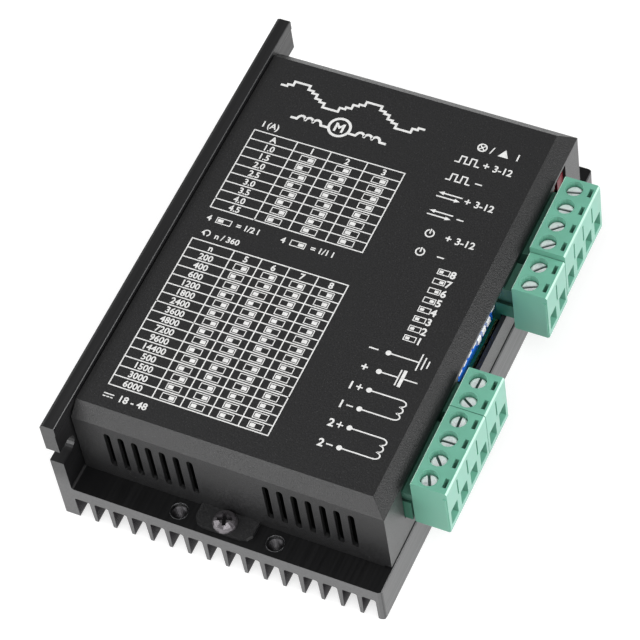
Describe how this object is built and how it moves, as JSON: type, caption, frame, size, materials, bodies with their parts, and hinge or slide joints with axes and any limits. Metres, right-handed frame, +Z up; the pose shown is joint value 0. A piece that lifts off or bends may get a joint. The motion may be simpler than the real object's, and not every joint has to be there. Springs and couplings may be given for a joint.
{
  "type": "step motor driver module",
  "caption": "Finned L-shaped heatsink with a bevelled sheet-metal cover, pull-off green screw terminals and a bank of small slide switches along one side.",
  "frame": {"origin": "centre of the bounding box's bottom face, on the plane the fin tips stand on", "axes": "+X from the tall mounting wall towards the terminal side, +Y along the extrusion, +Z up from the fin tips"},
  "size_m": [0.086, 0.118, 0.034],
  "materials": {
    "black_anodised": "satin",
    "black_sheet": "fine textured",
    "green_plug": "satin",
    "green_header": "satin",
    "screw_steel": "bright",
    "screw_black": "black nickel",
    "cage_steel": "satin",
    "board_green": "glossy mask",
    "switch_blue": "satin",
    "switch_white": "satin",
    "lamp_red": "clear",
    "chip_black": "matte",
    "opto_white": "matte",
    "capacitor_sleeve": "satin",
    "pad_grey": "matte",
    "clamp_aluminium": "satin",
    "post_nylon": "matte"
  },
  "bodies": {
    "housing": {"heatsink": "black_anodised", "cover": "black_sheet", "cover_screw_near": "screw_black", "cover_screw_far": "screw_black", "pcb": "board_green", "pcb_post_near": "post_nylon", "pcb_post_far": "post_nylon", "thermal_pad": "pad_grey", "transistor_1": "chip_black", "transistor_2": "chip_black", "transistor_3": "chip_black", "transistor_4": "chip_black", "clamp_bar": "clamp_aluminium", "clamp_screw_1": "screw_steel", "clamp_screw_2": "screw_steel", "capacitor_1": "capacitor_sleeve", "capacitor_2": "capacitor_sleeve", "controller_chip": "chip_black", "optocoupler_bank": "opto_white", "alarm_lamp": "lamp_red", "switch_body": "switch_blue", "power_header": "green_header", "signal_header": "green_header"},
    "power_plug_4p_body": {"power_plug_4p": "green_plug"},
    "power_plug_2p_body": {"power_plug_2p": "green_plug"},
    "signal_plug_4p_body": {"signal_plug_4p": "green_plug"},
    "signal_plug_2p_body": {"signal_plug_2p": "green_plug"},
    "screw_power_1_body": {"screw_power_1": "screw_steel"},
    "cage_power_1_body": {"cage_power_1": "cage_steel"},
    "screw_power_2_body": {"screw_power_2": "screw_steel"},
    "cage_power_2_body": {"cage_power_2": "cage_steel"},
    "screw_power_3_body": {"screw_power_3": "screw_steel"},
    "cage_power_3_body": {"cage_power_3": "cage_steel"},
    "screw_power_4_body": {"screw_power_4": "screw_steel"},
    "cage_power_4_body": {"cage_power_4": "cage_steel"},
    "screw_power_5_body": {"screw_power_5": "screw_steel"},
    "cage_power_5_body": {"cage_power_5": "cage_steel"},
    "screw_power_6_body": {"screw_power_6": "screw_steel"},
    "cage_power_6_body": {"cage_power_6": "cage_steel"},
    "screw_signal_1_body": {"screw_signal_1": "screw_steel"},
    "cage_signal_1_body": {"cage_signal_1": "cage_steel"},
    "screw_signal_2_body": {"screw_signal_2": "screw_steel"},
    "cage_signal_2_body": {"cage_signal_2": "cage_steel"},
    "screw_signal_3_body": {"screw_signal_3": "screw_steel"},
    "cage_signal_3_body": {"cage_signal_3": "cage_steel"},
    "screw_signal_4_body": {"screw_signal_4": "screw_steel"},
    "cage_signal_4_body": {"cage_signal_4": "cage_steel"},
    "screw_signal_5_body": {"screw_signal_5": "screw_steel"},
    "cage_signal_5_body": {"cage_signal_5": "cage_steel"},
    "screw_signal_6_body": {"screw_signal_6": "screw_steel"},
    "cage_signal_6_body": {"cage_signal_6": "cage_steel"},
    "switch_slider_1_body": {"switch_slider_1": "switch_white"},
    "switch_slider_2_body": {"switch_slider_2": "switch_white"},
    "switch_slider_3_body": {"switch_slider_3": "switch_white"},
    "switch_slider_4_body": {"switch_slider_4": "switch_white"},
    "switch_slider_5_body": {"switch_slider_5": "switch_white"},
    "switch_slider_6_body": {"switch_slider_6": "switch_white"},
    "switch_slider_7_body": {"switch_slider_7": "switch_white"},
    "switch_slider_8_body": {"switch_slider_8": "switch_white"}
  },
  "joints": [
    {"name": "power_plug_4p_pull", "type": "slide", "parent": "housing", "child": "power_plug_4p_body", "axis": [1, 0, 0], "range_m": [0, 0.012]},
    {"name": "power_plug_2p_pull", "type": "slide", "parent": "housing", "child": "power_plug_2p_body", "axis": [1, 0, 0], "range_m": [0, 0.012]},
    {"name": "signal_plug_4p_pull", "type": "slide", "parent": "housing", "child": "signal_plug_4p_body", "axis": [1, 0, 0], "range_m": [0, 0.012]},
    {"name": "signal_plug_2p_pull", "type": "slide", "parent": "housing", "child": "signal_plug_2p_body", "axis": [1, 0, 0], "range_m": [0, 0.012]},
    {"name": "screw_power_1_turn", "type": "hinge", "parent": "power_plug_4p_body", "child": "screw_power_1_body", "pos_m": [0.038, -0.0412, 0.029], "axis": [0, 0, 1], "range_deg": [-1800, 0]},
    {"name": "cage_power_1_lift", "type": "slide", "parent": "power_plug_4p_body", "child": "cage_power_1_body", "axis": [0, 0, 1], "range_m": [0, 0.0025]},
    {"name": "screw_power_2_turn", "type": "hinge", "parent": "power_plug_4p_body", "child": "screw_power_2_body", "pos_m": [0.038, -0.03612, 0.029], "axis": [0, 0, 1], "range_deg": [-1800, 0]},
    {"name": "cage_power_2_lift", "type": "slide", "parent": "power_plug_4p_body", "child": "cage_power_2_body", "axis": [0, 0, 1], "range_m": [0, 0.0025]},
    {"name": "screw_power_3_turn", "type": "hinge", "parent": "power_plug_4p_body", "child": "screw_power_3_body", "pos_m": [0.038, -0.03104, 0.029], "axis": [0, 0, 1], "range_deg": [-1800, 0]},
    {"name": "cage_power_3_lift", "type": "slide", "parent": "power_plug_4p_body", "child": "cage_power_3_body", "axis": [0, 0, 1], "range_m": [0, 0.0025]},
    {"name": "screw_power_4_turn", "type": "hinge", "parent": "power_plug_4p_body", "child": "screw_power_4_body", "pos_m": [0.038, -0.02596, 0.029], "axis": [0, 0, 1], "range_deg": [-1800, 0]},
    {"name": "cage_power_4_lift", "type": "slide", "parent": "power_plug_4p_body", "child": "cage_power_4_body", "axis": [0, 0, 1], "range_m": [0, 0.0025]},
    {"name": "screw_power_5_turn", "type": "hinge", "parent": "power_plug_2p_body", "child": "screw_power_5_body", "pos_m": [0.038, -0.02076, 0.029], "axis": [0, 0, 1], "range_deg": [-1800, 0]},
    {"name": "cage_power_5_lift", "type": "slide", "parent": "power_plug_2p_body", "child": "cage_power_5_body", "axis": [0, 0, 1], "range_m": [0, 0.0025]},
    {"name": "screw_power_6_turn", "type": "hinge", "parent": "power_plug_2p_body", "child": "screw_power_6_body", "pos_m": [0.038, -0.01568, 0.029], "axis": [0, 0, 1], "range_deg": [-1800, 0]},
    {"name": "cage_power_6_lift", "type": "slide", "parent": "power_plug_2p_body", "child": "cage_power_6_body", "axis": [0, 0, 1], "range_m": [0, 0.0025]},
    {"name": "screw_signal_1_turn", "type": "hinge", "parent": "signal_plug_2p_body", "child": "screw_signal_1_body", "pos_m": [0.038, 0.01239, 0.029], "axis": [0, 0, 1], "range_deg": [-1800, 0]},
    {"name": "cage_signal_1_lift", "type": "slide", "parent": "signal_plug_2p_body", "child": "cage_signal_1_body", "axis": [0, 0, 1], "range_m": [0, 0.0025]},
    {"name": "screw_signal_2_turn", "type": "hinge", "parent": "signal_plug_2p_body", "child": "screw_signal_2_body", "pos_m": [0.038, 0.01747, 0.029], "axis": [0, 0, 1], "range_deg": [-1800, 0]},
    {"name": "cage_signal_2_lift", "type": "slide", "parent": "signal_plug_2p_body", "child": "cage_signal_2_body", "axis": [0, 0, 1], "range_m": [0, 0.0025]},
    {"name": "screw_signal_3_turn", "type": "hinge", "parent": "signal_plug_4p_body", "child": "screw_signal_3_body", "pos_m": [0.038, 0.02267, 0.029], "axis": [0, 0, 1], "range_deg": [-1800, 0]},
    {"name": "cage_signal_3_lift", "type": "slide", "parent": "signal_plug_4p_body", "child": "cage_signal_3_body", "axis": [0, 0, 1], "range_m": [0, 0.0025]},
    {"name": "screw_signal_4_turn", "type": "hinge", "parent": "signal_plug_4p_body", "child": "screw_signal_4_body", "pos_m": [0.038, 0.02775, 0.029], "axis": [0, 0, 1], "range_deg": [-1800, 0]},
    {"name": "cage_signal_4_lift", "type": "slide", "parent": "signal_plug_4p_body", "child": "cage_signal_4_body", "axis": [0, 0, 1], "range_m": [0, 0.0025]},
    {"name": "screw_signal_5_turn", "type": "hinge", "parent": "signal_plug_4p_body", "child": "screw_signal_5_body", "pos_m": [0.038, 0.03283, 0.029], "axis": [0, 0, 1], "range_deg": [-1800, 0]},
    {"name": "cage_signal_5_lift", "type": "slide", "parent": "signal_plug_4p_body", "child": "cage_signal_5_body", "axis": [0, 0, 1], "range_m": [0, 0.0025]},
    {"name": "screw_signal_6_turn", "type": "hinge", "parent": "signal_plug_4p_body", "child": "screw_signal_6_body", "pos_m": [0.038, 0.03791, 0.029], "axis": [0, 0, 1], "range_deg": [-1800, 0]},
    {"name": "cage_signal_6_lift", "type": "slide", "parent": "signal_plug_4p_body", "child": "cage_signal_6_body", "axis": [0, 0, 1], "range_m": [0, 0.0025]},
    {"name": "switch_1_slide", "type": "slide", "parent": "housing", "child": "switch_slider_1_body", "axis": [0, 0, 1], "range_m": [-0.002, 0]},
    {"name": "switch_2_slide", "type": "slide", "parent": "housing", "child": "switch_slider_2_body", "axis": [0, 0, 1], "range_m": [-0.002, 0]},
    {"name": "switch_3_slide", "type": "slide", "parent": "housing", "child": "switch_slider_3_body", "axis": [0, 0, 1], "range_m": [-0.002, 0]},
    {"name": "switch_4_slide", "type": "slide", "parent": "housing", "child": "switch_slider_4_body", "axis": [0, 0, 1], "range_m": [-0.002, 0]},
    {"name": "switch_5_slide", "type": "slide", "parent": "housing", "child": "switch_slider_5_body", "axis": [0, 0, 1], "range_m": [0, 0.002]},
    {"name": "switch_6_slide", "type": "slide", "parent": "housing", "child": "switch_slider_6_body", "axis": [0, 0, 1], "range_m": [0, 0.002]},
    {"name": "switch_7_slide", "type": "slide", "parent": "housing", "child": "switch_slider_7_body", "axis": [0, 0, 1], "range_m": [0, 0.002]},
    {"name": "switch_8_slide", "type": "slide", "parent": "housing", "child": "switch_slider_8_body", "axis": [0, 0, 1], "range_m": [-0.002, 0]}
  ],
  "couplings": [
    {"joint": "screw_power_1_turn", "follows": "cage_power_1_lift", "rad_per_m": -12566},
    {"joint": "screw_power_2_turn", "follows": "cage_power_2_lift", "rad_per_m": -12566},
    {"joint": "screw_power_3_turn", "follows": "cage_power_3_lift", "rad_per_m": -12566},
    {"joint": "screw_power_4_turn", "follows": "cage_power_4_lift", "rad_per_m": -12566},
    {"joint": "screw_power_5_turn", "follows": "cage_power_5_lift", "rad_per_m": -12566},
    {"joint": "screw_power_6_turn", "follows": "cage_power_6_lift", "rad_per_m": -12566},
    {"joint": "screw_signal_1_turn", "follows": "cage_signal_1_lift", "rad_per_m": -12566},
    {"joint": "screw_signal_2_turn", "follows": "cage_signal_2_lift", "rad_per_m": -12566},
    {"joint": "screw_signal_3_turn", "follows": "cage_signal_3_lift", "rad_per_m": -12566},
    {"joint": "screw_signal_4_turn", "follows": "cage_signal_4_lift", "rad_per_m": -12566},
    {"joint": "screw_signal_5_turn", "follows": "cage_signal_5_lift", "rad_per_m": -12566},
    {"joint": "screw_signal_6_turn", "follows": "cage_signal_6_lift", "rad_per_m": -12566}
  ]
}
